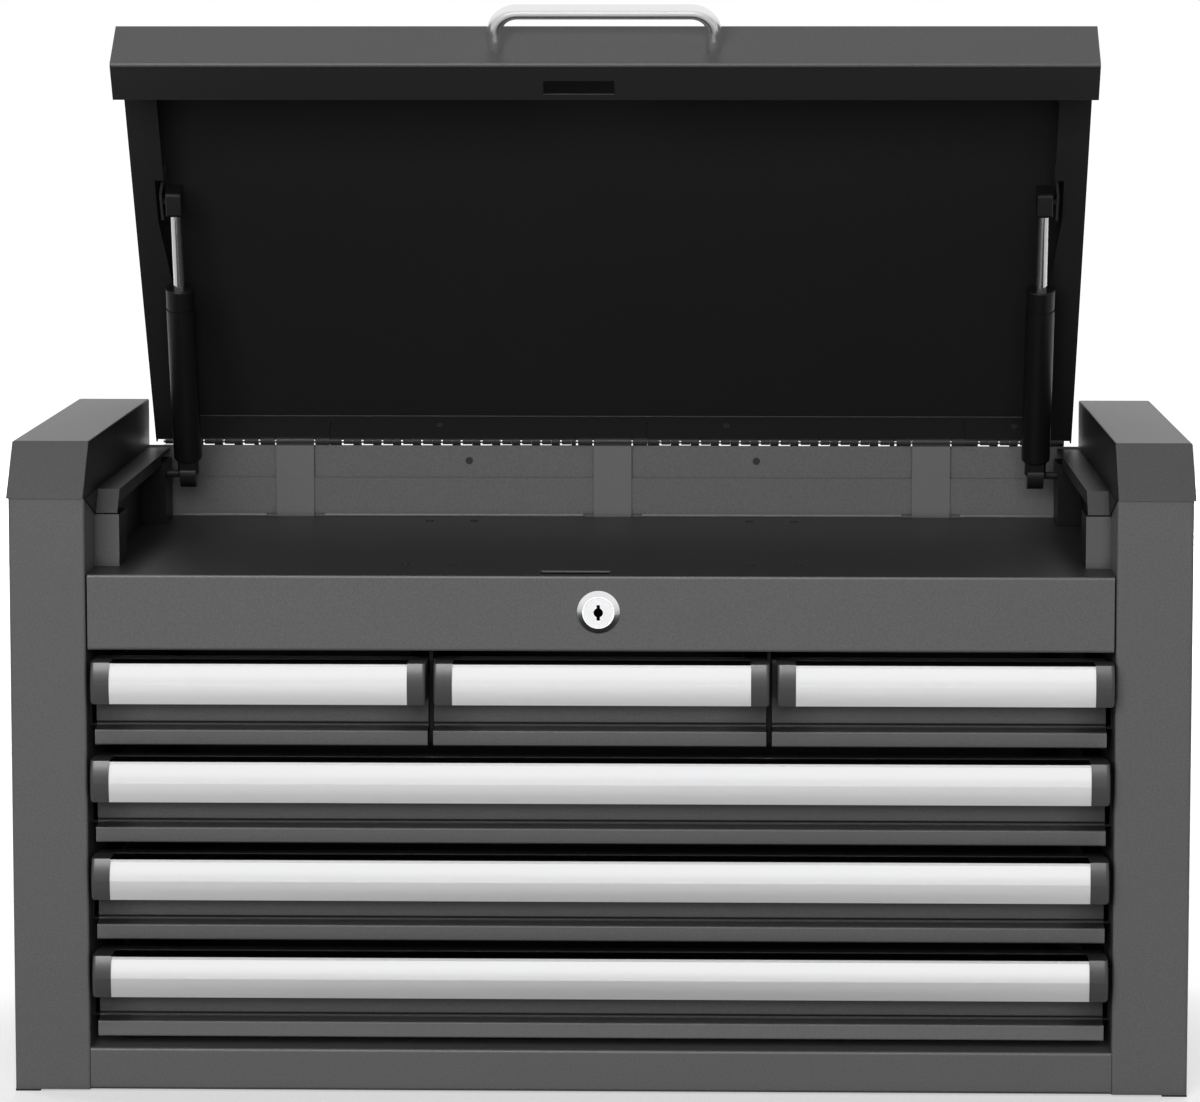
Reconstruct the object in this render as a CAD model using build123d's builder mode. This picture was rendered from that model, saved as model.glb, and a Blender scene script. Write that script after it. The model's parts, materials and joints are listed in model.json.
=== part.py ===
from build123d import *
from math import atan2, cos, degrees, radians, sin
import os

# Top tool chest, 660 mm wide, with its lid open on two gas struts and its six drawers shut.
# +X is to the right, +Y goes away from the person at the chest, +Z is up, all in millimetres.
# Distances named *_back run back from the front face of the posts, and heights run up from the
# bottom of the posts. The lid's own sizes are given as if it were shut.

# Sheet steel
sheet = 1.0
drawer_sheet = 0.8
bend = 1.8
small_bend = 1.1
fit_gap = 0.05

# Side walls, which are hollow, with the post at the front
post_outer = 328.8
post_width = 42.4
post_inner = post_outer - post_width
post_height = 334.1
body_back = 316.25
panel_front = body_back - sheet
seam_back = 313.0
foot_height = 1.0
foot_width = 14.0
foot_length = 40.0

# Caps on the side walls
cap_inner = 286.5
cap_outer = 330.0
cap_overhang = 1.0
cap_slant_back = 27.8
cap_top = 363.8
cap_back = 317.5
cap_wall = 1.5
cap_round = 1.2

# Header with the lock, tray floor and turned-up rear edge
tray_half_width = 285.5
header_back = 1.4
header_bottom = 249.1
header_lip = 12.0
tray_floor = 291.5
upstand_top = 315.5
upstand_front = panel_front - sheet
tray_flange_depth = 16.0
tray_flange_front = 16.0
latch_slot = (-33.4, 5.3)
latch_slot_back = (11.5, 27.0)
strap_notch_width = 36.0
strap_notch_height = 2.0

# Back panel and bottom panel
panel_top = 335.4
rail_back = 0.7
rail_top = 23.6
rail_lip = 14.0
rear_flange_bottom = 4.0

# Lid rest rails, and under them the side trims with the strut boxes, beside the tray
rest_inner = 273.3
rest_front = 43.0
rest_slant_foot = 321.7
rest_slant_back = 55.3
rest_lip_bottom = 327.0
trim_inner = 272.3
trim_box_back = 80.0
trim_box_top = 320.9
strut_box_inner = 270.7
strut_box_front = 264.0
strut_box_back = 300.0
strut_box_top = 329.4

# Dividers between the top drawers
divider_x = 94.4
divider_thickness = 2.0
divider_front = 14.0
divider_bottom = 197.0
divider_flange = (80.2, 116.2)
divider_flange_back = (40.0, 300.0)
divider_rear_flange = 16.0

# Rivets
rivet_radius = 1.6
rivet_head_radius = 2.2
rivet_head_height = 0.6
tray_rivet_x = (84.3, 111.5)
tray_rivet_back = (55.0, 287.0)
panel_rivet_x = 88.5
panel_rivet_height = 326.0
lid_rivet_x = (-107.5, 70.1, 247.6)
lid_rivet_height = 353.3

# Piano hinge and its straps
hinge_back = 315.0
hinge_height = 338.0
pin_radius = 1.2
knuckle_radius = 1.95
leaf = 0.7
hinge_half_length = 277.5
leaf_bottom = 318.0
leaf_top = 358.0
knuckle_pitch = 12.25
lid_knuckle = 5.6
knuckle_gap = 1.25
knuckle_play = 0.15
strap_spacing = 196.0
strap_width = 23.3
strap_thickness = 1.15
strap_play = 0.8
plain_knuckle = 8.9
strap_curl_radius = pin_radius + fit_gap + strap_thickness
strap_rise = 1.2
slit_beside_strap = 20.9
slit_width = 0.8
slit_top = 356.7

# Lid
lid_half_width = 282.1
lid_front = 1.0
lid_lip_bottom = 293.3
lid_lip_back = 25.7
lid_fold = 331.6
lid_slant_back = 28.8
lid_top = 364.0
lid_flange_bottom = 340.8
lid_side_bottom = 338.0
lid_side_front = 52.0
lid_return_inner = 263.3
lid_return_back = 313.0
lid_slot = (-35.0, 5.8)
lid_slot_back = (12.4, 21.9)
notch_back = (116.0, 192.0)
notch_inner = 268.6
notch_taper = 46.0
lid_open_angle = 55.8

# Bow handle on the lid
handle_height = 309.5
handle_spacing = 124.7
handle_rod_radius = 4.3
handle_reach = 25.0
handle_bend = 13.0
screw_radius = 2.5
screw_depth = 12.0
screw_head_radius = 5.0
screw_head_height = 3.0

# Gas struts: lower pivot on the strut box, upper pivot on the lid (given with the lid shut)
strut_x = 257.3
lower_pivot_back = 272.0
lower_pivot_height = 321.8
upper_pivot_back = 130.5
upper_pivot_height = 336.9
tube_radius = 8.6
tube_bore_radius = 7.2
tube_shoulder = 10.3
tube_round = 1.6
tube_floor = 20.0
tube_end = 110.0
guide_depth = 1.5
groove_length = 1.1
groove_depth = 0.6
neck_end = 123.5
neck_radius = 8.5
neck_round = 1.0
rod_radius = 3.5
piston_radius = 7.1
piston_length = 6.0
piston_clearance = 1.0
foot_eye_width = 9.7
foot_eye_radius = 8.2
foot_neck_width = 13.0
foot_neck_length = 9.0
stud_radius = 2.2
stud_head_radius = 3.8
stud_head = 0.7
stud_inner_x = 253.4
stud_end_gap = 0.4
fork_x = (252.9, 262.2)
fork_half_depth = 8.5
fork_length = (7.3, 8.1)
fork_round = 2.2
fork_side_round = 0.8
bracket_x = 264.2
bracket_thickness = 1.5
bracket_back = (121.0, 140.0)
bracket_bottom = 331.0
bracket_foot = 14.0
bracket_stud_end = 262.5

# Lock, its plug and its hook
lock_x = -0.6
lock_height = 271.4
lock_ring_radius = 11.9
lock_ring_front = -2.2
lock_ring_edge = 0.8
lock_ring_slope = 3.0
lock_barrel_radius = 9.0
lock_barrel_back = 13.0
lock_face_radius = 8.1
lock_face_back = 0.6
plug_face_radius = 8.0
plug_radius = 6.2
plug_front = -2.6
plug_tail_radius = 4.0
plug_tail_back = 18.0
keyhole_radius = 2.6
keyhole_width = 1.9
keyhole_length = 8.6
keyhole_depth = 9.0
hook_back = (14.2, 16.8)
hook_half_width = 5.0
hook_reach = 29.0
hook_toe_start = 23.5
hook_toe_length = 6.0
hook_boss_radius = 7.0

# Drawers
row_pitch = 55.13
first_row_bottom = 195.6
front_side_gap = 4.5
front_middle_gap = 3.2
band_back = 1.5
flat_back = 10.0
band_height = 8.8
groove_height = 10.4
groove_back = 12.5
flat_bottom = 12.5
front_height = 48.2
front_hem = 10.0
tub_bottom = 4.0
tub_top = 43.0
tub_back = 290.0
slide_width = 12.7
channel_front = 16.0
channel_length = 284.0
channel_sheet = 1.2
channel_centre = 24.0
fixed_channel_height = 30.0
fixed_channel_depth = 9.5
moving_channel_height = 20.0
moving_channel_gap = 4.0

# Pulls along the top edge of each drawer
pull_bottom = 25.2
pull_top = 47.6
pull_leg_bottom = 33.0
pull_nose_back = -10.4
pull_belly_back = -14.1
pull_belly_height = 36.0
pull_lip_back = -12.6
pull_thickness = 1.5
pull_end_length = 10.5
pull_end_extra = 0.5
pull_end_round = 2.2
pull_front = pull_belly_back - pull_end_extra
top_row_pull_length = 186.6
wide_pull_length = 566.4
top_row_pull_shift = (-0.3, 1.4, 2.9)

# The origin is on the ground, in the middle of the box round the open chest
open_turn = radians(lid_open_angle)
corner_back = (body_back - hinge_back - bend) * cos(open_turn)
corner_up = (lid_top - hinge_height - bend) * sin(open_turn)
overall_back = hinge_back + corner_back + corner_up + bend
front_y = -(pull_front + overall_back) / 2

chest = Plane(origin=(0, front_y, foot_height), x_dir=(1, 0, 0), z_dir=(0, 0, 1))
pin_in_chest = chest.from_local_coords((0, hinge_back, hinge_height))
lid_up = Vector(0, sin(open_turn), cos(open_turn))
lid_rearward = Vector(0, cos(open_turn), -sin(open_turn))
lid_origin = pin_in_chest - lid_rearward * hinge_back - lid_up * hinge_height
open_lid = Plane(origin=lid_origin, x_dir=(1, 0, 0), z_dir=lid_up)


def side_view(frame, across=0.0):
    """Drawing plane seen from the side: x runs back, y runs up."""
    return Plane(frame.from_local_coords((across, 0, 0)), x_dir=frame.y_dir, z_dir=frame.x_dir)


def front_view(frame, back=0.0):
    """Drawing plane seen from the front: x runs right, y runs up, and it faces the viewer."""
    return Plane(frame.from_local_coords((0, back, 0)), x_dir=frame.x_dir, z_dir=-frame.y_dir)


def plan_view(frame, height=0.0):
    """Drawing plane seen from above: x runs right, y runs back."""
    return Plane(frame.from_local_coords((0, 0, height)), x_dir=frame.x_dir, z_dir=frame.z_dir)


def block(frame, across, back, height):
    """A plain block between two limits each way."""
    with BuildPart() as solid:
        with BuildSketch(plan_view(frame, height[0])):
            with Locations(((across[0] + across[1]) / 2, (back[0] + back[1]) / 2)):
                Rectangle(across[1] - across[0], back[1] - back[0])
        extrude(amount=height[1] - height[0])
    return solid.part


def folded_sheet(frame, outline, half_width, side, radius=bend, thickness=sheet, middle=0.0):
    """Sheet bent along a side-view outline; its thickness lies on the given side of the line."""
    with BuildPart() as panel:
        with BuildSketch(side_view(frame, middle)):
            with BuildLine():
                FilletPolyline(*outline, radius=radius)
                offset(amount=thickness, side=side)
            make_face()
        extrude(amount=half_width, both=True)
    return panel.part


def side_prism(frame, outline, across):
    """A side-view outline filled and extended between two limits across."""
    with BuildPart() as solid:
        with BuildSketch(side_view(frame, across[0])):
            with BuildLine():
                Polyline(*outline, close=True)
            make_face()
        extrude(amount=across[1] - across[0])
    return solid.part


def disc(plane, radius, length, centre=(0, 0)):
    """A round bar that starts on a plane and runs along its normal."""
    with BuildPart() as solid:
        with BuildSketch(plane):
            with Locations(centre):
                Circle(radius)
        extrude(amount=length)
    return solid.part


def mirrored(part, label):
    """The same piece for the left side."""
    with BuildPart() as twin:
        mirror(part, about=Plane.YZ)
    twin.part.label = label
    return twin.part


def save(part, name):
    part.label = name
    export_step(part, f"parts/{name}.step")
    print(f"{name}: {len(part.solids())} solid(s), {part.volume / 1000:.2f} cm3")


os.makedirs("parts", exist_ok=True)


# Side walls: one sheet folded round into a hollow wall, open at the top under its cap
with BuildPart() as side_panel_right:
    with BuildSketch(plan_view(chest)):
        with BuildLine():
            FilletPolyline(
                (post_inner, seam_back),
                (post_inner, 0),
                (post_outer, 0),
                (post_outer, body_back),
                (post_inner, body_back),
                radius=bend,
            )
            offset(amount=sheet, side=Side.RIGHT)
        make_face()
    extrude(amount=post_height)

save(side_panel_right.part, "side_panel_right")
save(mirrored(side_panel_right.part, "side_panel_left"), "side_panel_left")

# Caps: hollow covers with a slanted front
with BuildPart() as side_cap_right:
    add(
        side_prism(
            chest,
            [
                (-cap_overhang, post_height),
                (cap_slant_back, cap_top),
                (cap_back, cap_top),
                (cap_back, post_height),
            ],
            (cap_inner, cap_outer),
        )
    )
    top_edges = side_cap_right.edges().filter_by(Axis.Z, reverse=True).group_by(Axis.Z)[1:]
    fillet([edge for group in top_edges for edge in group], radius=cap_round)
    offset(amount=-cap_wall, openings=side_cap_right.faces().sort_by(Axis.Z)[0])

save(side_cap_right.part, "side_cap_right")
save(mirrored(side_cap_right.part, "side_cap_left"), "side_cap_left")

# Tray: header, floor and turned-up rear edge are one folded sheet with a flange at each side
with BuildPart() as top_tray:
    add(
        folded_sheet(
            chest,
            [
                (header_back + header_lip, header_bottom),
                (header_back, header_bottom),
                (header_back, tray_floor),
                (upstand_front, tray_floor),
                (upstand_front, upstand_top),
            ],
            tray_half_width,
            Side.RIGHT,
        )
    )
    for side in (-1, 1):
        flange_x = sorted((side * (tray_half_width - sheet), side * tray_half_width))
        edge_x = sorted((side * tray_half_width, side * post_inner))
        flange_height = (tray_floor - tray_flange_depth, tray_floor)
        add(block(chest, flange_x, (tray_flange_front, upstand_front), flange_height))
        add(block(chest, edge_x, (tray_flange_front, upstand_front), flange_height))
    with BuildSketch(plan_view(chest, tray_floor)):
        with Locations((sum(latch_slot) / 2, sum(latch_slot_back) / 2)):
            Rectangle(latch_slot[1] - latch_slot[0], latch_slot_back[1] - latch_slot_back[0])
        for x in tray_rivet_x:
            for back in tray_rivet_back:
                with Locations((x, back), (-x, back)):
                    Circle(rivet_radius)
    extrude(amount=-sheet, mode=Mode.SUBTRACT)
    with BuildSketch(front_view(chest, header_back)):
        with Locations((lock_x, lock_height)):
            Circle(lock_barrel_radius)
    extrude(amount=-sheet, mode=Mode.SUBTRACT)
    for turn in (-1, 0, 1):
        notch_x = (turn * strap_spacing - strap_notch_width / 2, turn * strap_spacing + strap_notch_width / 2)
        notch_height = (tray_floor, tray_floor + strap_notch_height)
        notch_back_limits = (upstand_front - bend, panel_front)
        add(block(chest, notch_x, notch_back_limits, notch_height), mode=Mode.SUBTRACT)

save(top_tray.part, "top_tray")

# Back panel, with holes for the two rivets that also hold the hinge
with BuildPart() as back_panel:
    add(block(chest, (-post_inner, post_inner), (panel_front, body_back), (0, panel_top)))
    with BuildSketch(front_view(chest, panel_front)):
        with Locations((-panel_rivet_x, panel_rivet_height), (panel_rivet_x, panel_rivet_height)):
            Circle(rivet_radius)
    extrude(amount=-sheet, mode=Mode.SUBTRACT)

save(back_panel.part, "back_panel")

# Bottom panel, whose front edge is the rail under the lowest drawer
with BuildPart() as bottom_panel:
    add(
        folded_sheet(
            chest,
            [
                (rail_back + rail_lip, 0),
                (rail_back, 0),
                (rail_back, rail_top),
                (panel_front, rail_top),
                (panel_front, rear_flange_bottom),
            ],
            post_inner,
            Side.RIGHT,
        )
    )

save(bottom_panel.part, "bottom_panel")

# Lid rest rails: a ledge with a small lip, which slants down at the front to a three-cornered skirt
rest_outline = [
    (rest_front, rest_slant_foot),
    (rest_slant_back, post_height),
    (panel_front, post_height),
    (panel_front, rest_lip_bottom),
    (rest_slant_back, rest_lip_bottom),
    (rest_front + 2 * sheet, rest_slant_foot),
]
rest_hollow = [
    (rest_front + 2 * sheet, rest_slant_foot),
    (rest_slant_back + sheet / 2, post_height - sheet),
    (panel_front, post_height - sheet),
    (panel_front, rest_lip_bottom),
    (rest_slant_back, rest_lip_bottom),
]
skirt_outline = [
    (0, post_height),
    (rest_front, rest_slant_foot),
    (rest_slant_back, post_height),
]
with BuildPart() as lid_rest_rail_right:
    add(side_prism(chest, rest_outline, (rest_inner, post_inner)))
    add(side_prism(chest, rest_hollow, (rest_inner + sheet, post_inner)), mode=Mode.SUBTRACT)
    gap_back = (strut_box_front - sheet, panel_front)
    gap_height = (rest_lip_bottom, post_height - sheet)
    add(block(chest, (rest_inner, rest_inner + sheet), gap_back, gap_height), mode=Mode.SUBTRACT)
    add(side_prism(chest, skirt_outline, (post_inner - sheet, post_inner)))

save(lid_rest_rail_right.part, "lid_rest_rail_right")
save(mirrored(lid_rest_rail_right.part, "lid_rest_rail_left"), "lid_rest_rail_left")

# Side trims: a box at the front, a liner on the side wall, and the box that carries the strut
with BuildPart() as tray_side_trim_right:
    trim_height = (tray_floor, trim_box_top)
    add(block(chest, (trim_inner, post_inner), (rest_front, trim_box_back), trim_height))
    hollow_x = (trim_inner + sheet, post_inner - sheet)
    hollow_back = (rest_front + sheet, trim_box_back - sheet)
    add(block(chest, hollow_x, hollow_back, trim_height), mode=Mode.SUBTRACT)
    liner_x = (post_inner - sheet, post_inner)
    add(block(chest, liner_x, (trim_box_back, strut_box_back), trim_height))
    box_height = (tray_floor, strut_box_top)
    add(block(chest, (strut_box_inner, post_inner), (strut_box_front, strut_box_back), box_height))
    hollow_x = (strut_box_inner + sheet, post_inner - sheet)
    hollow_back = (strut_box_front + sheet, strut_box_back - sheet)
    add(block(chest, hollow_x, hollow_back, box_height), mode=Mode.SUBTRACT)
    with BuildSketch(side_view(chest, strut_box_inner)):
        with Locations((lower_pivot_back, lower_pivot_height)):
            Circle(stud_radius)
    extrude(amount=sheet, mode=Mode.SUBTRACT)

save(tray_side_trim_right.part, "tray_side_trim_right")
save(mirrored(tray_side_trim_right.part, "tray_side_trim_left"), "tray_side_trim_left")

# Studs that the lower ends of the struts turn on
with BuildPart() as strut_studs:
    lower_pivot = (lower_pivot_back, lower_pivot_height)
    inner_end = side_view(chest, stud_inner_x)
    wall = side_view(chest, strut_box_inner + sheet)
    add(disc(inner_end, stud_radius, strut_box_inner + sheet - stud_inner_x, lower_pivot))
    add(disc(wall, stud_head_radius, stud_head, lower_pivot))
    mirror(about=Plane.YZ)

save(strut_studs.part, "strut_studs")

# Dividers between the three top drawers, hung from the tray floor
with BuildPart() as drawer_dividers:
    web_x = (divider_x - divider_thickness / 2, divider_x + divider_thickness / 2)
    floor_under = tray_floor - sheet
    add(block(chest, web_x, (divider_front, panel_front), (divider_bottom, floor_under)))
    flange_height = (floor_under - sheet, floor_under)
    add(block(chest, divider_flange, divider_flange_back, flange_height))
    rear_flange_x = (web_x[0], web_x[0] + divider_rear_flange)
    rear_flange_height = (divider_bottom, floor_under)
    add(block(chest, rear_flange_x, (panel_front - sheet, panel_front), rear_flange_height))
    with BuildSketch(plan_view(chest, floor_under)):
        for x in tray_rivet_x:
            for back in tray_rivet_back:
                with Locations((x, back)):
                    Circle(rivet_radius)
    extrude(amount=-sheet, mode=Mode.SUBTRACT)
    mirror(about=Plane.YZ)

save(drawer_dividers.part, "drawer_dividers")

# Rivets with low domed heads: eight in the tray floor and two in the back panel
with BuildPart() as tray_rivets:
    for x in tray_rivet_x:
        for back in tray_rivet_back:
            for side in (-1, 1):
                centre = (side * x, back)
                add(disc(plan_view(chest, tray_floor), rivet_radius, -2 * sheet, centre))
                add(disc(plan_view(chest, tray_floor), rivet_head_radius, rivet_head_height, centre))
    for side in (-1, 1):
        centre = (side * panel_rivet_x, panel_rivet_height)
        add(disc(front_view(chest, panel_front), rivet_radius, -sheet - leaf, centre))
        add(disc(front_view(chest, panel_front), rivet_head_radius, rivet_head_height, centre))

save(tray_rivets.part, "tray_rivets")

# Pads under the outer edge of each side wall, at the front and at the back
with BuildPart() as base_pads:
    for side in (-1, 1):
        pad_x = sorted((side * (post_outer - foot_width), side * post_outer))
        add(block(chest, pad_x, (0, foot_length), (-foot_height, 0)))
        add(block(chest, pad_x, (body_back - foot_length, body_back), (-foot_height, 0)))

save(base_pads.part, "base_pads")


# Piano hinge: both leaves are cut from the same long strip with its edge rolled round the pin
def strap_places():
    return [turn * strap_spacing for turn in (-1, 0, 1)]


def lid_knuckle_spans():
    """Where the lid's knuckles lie along the pin, from left to right."""
    spans = []
    clear = strap_width / 2 + strap_play + plain_knuckle
    place = -hinge_half_length
    while place + knuckle_gap + lid_knuckle < hinge_half_length:
        span = (place + knuckle_gap, place + knuckle_gap + lid_knuckle)
        if all(abs(sum(span) / 2 - strap) > clear + lid_knuckle for strap in strap_places()):
            spans.append(span)
        place += knuckle_pitch
    for strap in strap_places():
        near = strap_width / 2 + strap_play
        spans.append((strap - near - plain_knuckle, strap - near))
        spans.append((strap + near, strap + near + plain_knuckle))
    return sorted(spans)


def rolled_strip(frame, height):
    """A leaf of the hinge, with its whole edge rolled, before the knuckles are cut."""
    pin_place = (hinge_back, hinge_height)
    leaf_back = (hinge_back + knuckle_radius - leaf, hinge_back + knuckle_radius)
    with BuildPart() as strip:
        add(block(frame, (-hinge_half_length, hinge_half_length), leaf_back, height))
        with BuildSketch(side_view(frame, -hinge_half_length)):
            with Locations(pin_place):
                Circle(knuckle_radius)
        extrude(amount=2 * hinge_half_length)
        with BuildSketch(side_view(frame, -hinge_half_length)):
            with Locations(pin_place):
                Circle(pin_radius + fit_gap)
        extrude(amount=2 * hinge_half_length, mode=Mode.SUBTRACT)
    return strip.part


def sleeve(frame, start, length):
    """A thicker knuckle round the pin."""
    end_view = side_view(frame, start)
    pin_place = (hinge_back, hinge_height)
    with BuildPart() as tube:
        add(disc(end_view, strap_curl_radius, length, pin_place))
        add(disc(end_view, pin_radius + fit_gap, length, pin_place), mode=Mode.SUBTRACT)
    return tube.part


knuckles = lid_knuckle_spans()
knuckle_zone_back = (hinge_back - 2 * knuckle_radius, hinge_back + 2 * knuckle_radius)
knuckle_zone_top = hinge_height + knuckle_radius + leaf

with BuildPart() as hinge_leaf_cabinet:
    add(rolled_strip(chest, (leaf_bottom, hinge_height)))
    for start, end in knuckles:
        is_sleeve = end - start > lid_knuckle
        cut_x = (start - knuckle_gap, end + knuckle_play)
        cut_bottom = hinge_height - strap_curl_radius - fit_gap if is_sleeve else panel_top
        add(block(chest, cut_x, knuckle_zone_back, (cut_bottom, knuckle_zone_top)), mode=Mode.SUBTRACT)
    for strap in strap_places():
        cut_x = (strap - strap_width / 2 - strap_play, strap + strap_width / 2 + strap_play)
        cut_height = (panel_top, knuckle_zone_top)
        add(block(chest, cut_x, knuckle_zone_back, cut_height), mode=Mode.SUBTRACT)
    with BuildSketch(front_view(chest, body_back)):
        with Locations((-panel_rivet_x, panel_rivet_height), (panel_rivet_x, panel_rivet_height)):
            Circle(rivet_radius)
    extrude(amount=-leaf, mode=Mode.SUBTRACT)

save(hinge_leaf_cabinet.part, "hinge_leaf_cabinet")

with BuildPart() as hinge_leaf_lid:
    add(rolled_strip(open_lid, (hinge_height, leaf_top)))
    edges = [-hinge_half_length - knuckle_pitch]
    for start, end in knuckles:
        edges += [start, end]
    edges.append(hinge_half_length + knuckle_pitch)
    for start, end in zip(edges[::2], edges[1::2]):
        cut_height = (hinge_height - 2 * knuckle_radius, lid_flange_bottom)
        add(block(open_lid, (start, end), knuckle_zone_back, cut_height), mode=Mode.SUBTRACT)
    for strap in strap_places():
        near = strap_width / 2 + strap_play
        for start in (strap - near - plain_knuckle, strap + near):
            add(sleeve(open_lid, start, plain_knuckle))
    with BuildSketch(front_view(open_lid, body_back)):
        with Locations(*[(x, lid_rivet_height) for x in lid_rivet_x]):
            Circle(rivet_radius)
    extrude(amount=-leaf, mode=Mode.SUBTRACT)

save(hinge_leaf_lid.part, "hinge_leaf_lid")

with BuildPart() as hinge_pin:
    pin_start = side_view(chest, -hinge_half_length)
    add(disc(pin_start, pin_radius, 2 * hinge_half_length, (hinge_back, hinge_height)))

save(hinge_pin.part, "hinge_pin")

# Straps: wide knuckles round the pin with a leg down to the tray floor
with BuildPart() as hinge_straps:
    for strap in strap_places():
        strap_x = (strap - strap_width / 2, strap + strap_width / 2)
        start = side_view(chest, strap_x[0])
        bore = disc(start, pin_radius + fit_gap, strap_width, (hinge_back, hinge_height))
        leg_back = (upstand_front - strap_thickness, upstand_front)
        add(sleeve(chest, strap_x[0], strap_width))
        add(block(chest, strap_x, leg_back, (tray_floor, hinge_height - strap_rise)))
        add(bore, mode=Mode.SUBTRACT)

save(hinge_straps.part, "hinge_straps")

# Lid: one folded sheet with end walls, which have a return along their free edge
lid_outline = [
    (lid_lip_back, lid_lip_bottom),
    (lid_front, lid_lip_bottom),
    (lid_front, lid_fold),
    (lid_slant_back, lid_top),
    (body_back, lid_top),
    (body_back, lid_flange_bottom),
]
lid_end_outline = [
    (lid_lip_back, lid_lip_bottom + sheet / 2),
    (lid_front + sheet / 2, lid_lip_bottom + sheet / 2),
    (lid_front + sheet / 2, lid_fold),
    (lid_slant_back, lid_top - sheet / 2),
    (body_back - sheet / 2, lid_top - sheet / 2),
    (body_back - sheet / 2, lid_side_bottom),
    (lid_side_front, lid_side_bottom),
    (lid_lip_back, lid_side_bottom - lid_side_front + lid_lip_back),
]
with BuildPart() as lid_panel:
    add(folded_sheet(open_lid, lid_outline, lid_half_width, Side.RIGHT))
    for side in (-1, 1):
        end_x = sorted((side * (lid_half_width - sheet), side * lid_half_width))
        return_x = sorted((side * lid_return_inner, side * lid_half_width))
        return_height = (lid_side_bottom, lid_side_bottom + sheet)
        add(side_prism(open_lid, lid_end_outline, end_x))
        add(block(open_lid, return_x, (lid_side_front, lid_return_back), return_height))
        with BuildSketch(plan_view(open_lid, lid_side_bottom)):
            with BuildLine():
                Polyline(
                    (side * (lid_return_inner - sheet), notch_back[0]),
                    (side * notch_inner, notch_back[0]),
                    (side * notch_inner, notch_back[1] - notch_taper),
                    (side * lid_return_inner, notch_back[1]),
                    (side * (lid_return_inner - sheet), notch_back[1]),
                    close=True,
                )
            make_face()
        extrude(amount=sheet, mode=Mode.SUBTRACT)
    with BuildSketch(plan_view(open_lid, lid_lip_bottom)):
        with Locations((sum(lid_slot) / 2, sum(lid_slot_back) / 2)):
            Rectangle(lid_slot[1] - lid_slot[0], lid_slot_back[1] - lid_slot_back[0])
    extrude(amount=sheet, mode=Mode.SUBTRACT)
    with BuildSketch(front_view(open_lid, lid_front)):
        with Locations((-handle_spacing / 2, handle_height), (handle_spacing / 2, handle_height)):
            Circle(screw_radius)
    extrude(amount=-sheet, mode=Mode.SUBTRACT)
    with BuildSketch(front_view(open_lid, panel_front)):
        with Locations(*[(x, lid_rivet_height) for x in lid_rivet_x]):
            Circle(rivet_radius)
    extrude(amount=-sheet, mode=Mode.SUBTRACT)
    for strap in strap_places():
        slit_x = (strap + slit_beside_strap - slit_width / 2, strap + slit_beside_strap + slit_width / 2)
        slit_height = (lid_flange_bottom, slit_top)
        add(block(open_lid, slit_x, (panel_front, body_back), slit_height), mode=Mode.SUBTRACT)

save(lid_panel.part, "lid_panel")

# Bow handle: one bent rod, drilled at both ends for its screws
with BuildPart() as lid_handle:
    half = handle_spacing / 2
    with BuildLine(plan_view(open_lid, handle_height)):
        FilletPolyline(
            (-half, lid_front),
            (-half, lid_front - handle_reach),
            (half, lid_front - handle_reach),
            (half, lid_front),
            radius=handle_bend,
        )
    with BuildSketch(front_view(open_lid, lid_front)):
        with Locations((-half, handle_height)):
            Circle(handle_rod_radius)
    sweep()
    feet = front_view(open_lid, lid_front)
    for x in (-half, half):
        add(disc(feet, screw_radius, screw_depth, (x, handle_height)), mode=Mode.SUBTRACT)

save(lid_handle.part, "lid_handle")

# Screws that hold the handle, put in from the inside of the lid
with BuildPart() as handle_screws:
    inside = front_view(open_lid, lid_front + sheet)
    for x in (-handle_spacing / 2, handle_spacing / 2):
        add(disc(inside, screw_radius, sheet + screw_depth, (x, handle_height)))
        add(disc(inside, screw_head_radius, -screw_head_height, (x, handle_height)))

save(handle_screws.part, "handle_screws")

# Rivets through the lid's rear flange and the hinge leaf behind it
with BuildPart() as lid_rivets:
    flange_face = front_view(open_lid, panel_front)
    for x in lid_rivet_x:
        add(disc(flange_face, rivet_radius, -sheet - leaf, (x, lid_rivet_height)))
        add(disc(flange_face, rivet_head_radius, rivet_head_height, (x, lid_rivet_height)))

save(lid_rivets.part, "lid_rivets")

# Brackets on the lid for the upper ends of the struts; each ends in a short stud
with BuildPart() as lid_strut_brackets:
    plate_x = (bracket_x, bracket_x + bracket_thickness)
    lid_inside = lid_top - sheet
    add(block(open_lid, plate_x, bracket_back, (bracket_bottom, lid_inside)))
    foot_x = (bracket_x, bracket_x + bracket_foot)
    add(block(open_lid, foot_x, bracket_back, (lid_inside - bracket_thickness, lid_inside)))
    stud_end = side_view(open_lid, bracket_stud_end)
    upper_pivot = (upper_pivot_back, upper_pivot_height)
    add(disc(stud_end, stud_radius, bracket_x - bracket_stud_end, upper_pivot))
    mirror(about=Plane.YZ)

save(lid_strut_brackets.part, "lid_strut_brackets")


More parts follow.
